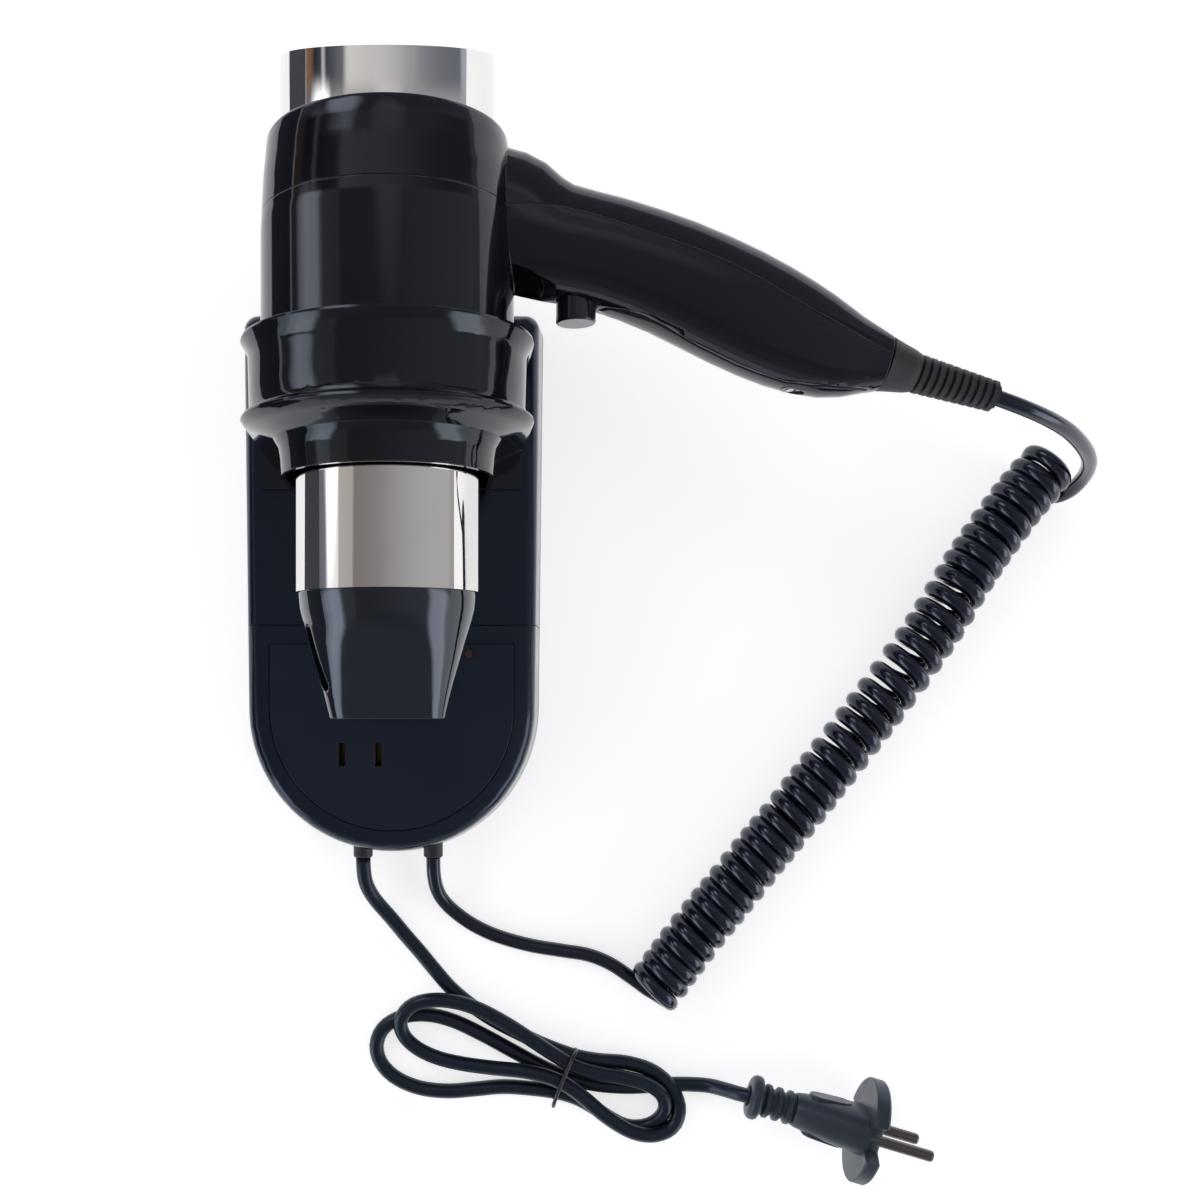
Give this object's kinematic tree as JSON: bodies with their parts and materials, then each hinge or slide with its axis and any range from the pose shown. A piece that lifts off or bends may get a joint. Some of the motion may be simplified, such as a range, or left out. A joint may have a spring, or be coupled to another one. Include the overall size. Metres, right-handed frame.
{
  "type": "hair dryer holder",
  "caption": "Wall unit with a flared holder cup and shaver socket, a pistol hair dryer lying in the cup on a curly lead, and a mains lead with a round plug.",
  "frame": {"origin": "centre of the wall unit's round end, on its back face, which is the wall plane", "axes": "+Z is the wall's outward normal, +Y points to the unit's top, where the dryer is lifted out, and +X points to the side where the grip leaves. The object is shown lying on its back, so +Z is also up here."},
  "size_m": [0.2989, 0.3747, 0.1173],
  "materials": {
    "gloss_black": "high gloss black ABS, moulded",
    "unit_black": "semi-gloss blue-black ABS, fine moulded surface",
    "panel_black": "semi-gloss inset panel",
    "chrome_plate": "bright plated",
    "soft_black": "matte rubber",
    "cord_black": "satin PVC sheath",
    "smoke_black": "gloss black, slightly smoky",
    "grille_black": "matte",
    "steel": "plain steel",
    "brass": "spring brass",
    "lamp_red": "dark red lens",
    "board_green": "circuit board",
    "white_plastic": "cream insulating plastic",
    "mica": "mica sheet",
    "inner_black": "unpolished inner moulding",
    "switch_blue": "microswitch case",
    "alloy": "bare can"
  },
  "bodies": {
    "root": {"back_plate": "inner_black", "upper_cover": "unit_black", "lower_cover": "unit_black", "socket_panel": "panel_black", "holder_cup": "gloss_black", "cup_screws": "steel", "cover_screws": "steel", "socket_body": "inner_black", "socket_contacts": "brass", "indicator_lamp": "lamp_red", "lamp_board": "board_green", "terminal_block": "white_plastic", "cord_clamps": "inner_black", "clamp_screws": "steel", "mains_bushing": "soft_black", "handset_bushing": "soft_black", "mains_lead": "cord_black", "mains_hank": "cord_black", "mains_tail": "cord_black", "hank_tie": "soft_black", "plug_body": "soft_black", "plug_pins": "steel", "curly_base_lead": "cord_black", "curly_coil": "cord_black", "curly_grip_lead": "cord_black"},
    "dryer": {"front_shell": "gloss_black", "rear_shell": "gloss_black", "grip_cover": "gloss_black", "rear_cap": "chrome_plate", "intake_grille": "grille_black", "intake_mesh": "steel", "outlet_tube": "chrome_plate", "outlet_grille": "grille_black", "heater_frame": "mica", "heater_element": "steel", "thermal_cutout": "alloy", "motor_mount": "inner_black", "motor": "alloy", "motor_bushes": "brass", "button_spring": "steel", "button_switch": "switch_blue", "grip_screws": "steel", "strain_relief": "soft_black"},
    "fan_rotor": {"fan": "inner_black", "fan_shaft": "steel"},
    "push_button": {"button_cap": "smoke_black"},
    "nozzle": {"concentrator": "smoke_black"}
  },
  "joints": [
    {"name": "dryer_lift", "type": "slide", "parent": "root", "child": "dryer", "axis": [0, 1, 0], "range_m": [0, 0.125], "deforming": ["curly_grip_lead"]},
    {"name": "button_press", "type": "slide", "parent": "dryer", "child": "push_button", "axis": [0, 1, 0], "range_m": [0, 0.003], "stiffness_N_per_m": 400, "springref_m": -0.003, "deforming": ["button_spring"]},
    {"name": "fan_spin", "type": "hinge", "parent": "dryer", "child": "fan_rotor", "pos_m": [0, 0.16, 0.071], "axis": [0, 1, 0], "continuous": true},
    {"name": "nozzle_turn", "type": "hinge", "parent": "dryer", "child": "nozzle", "pos_m": [0, 0.04, 0.071], "axis": [0, 1, 0], "continuous": true}
  ]
}
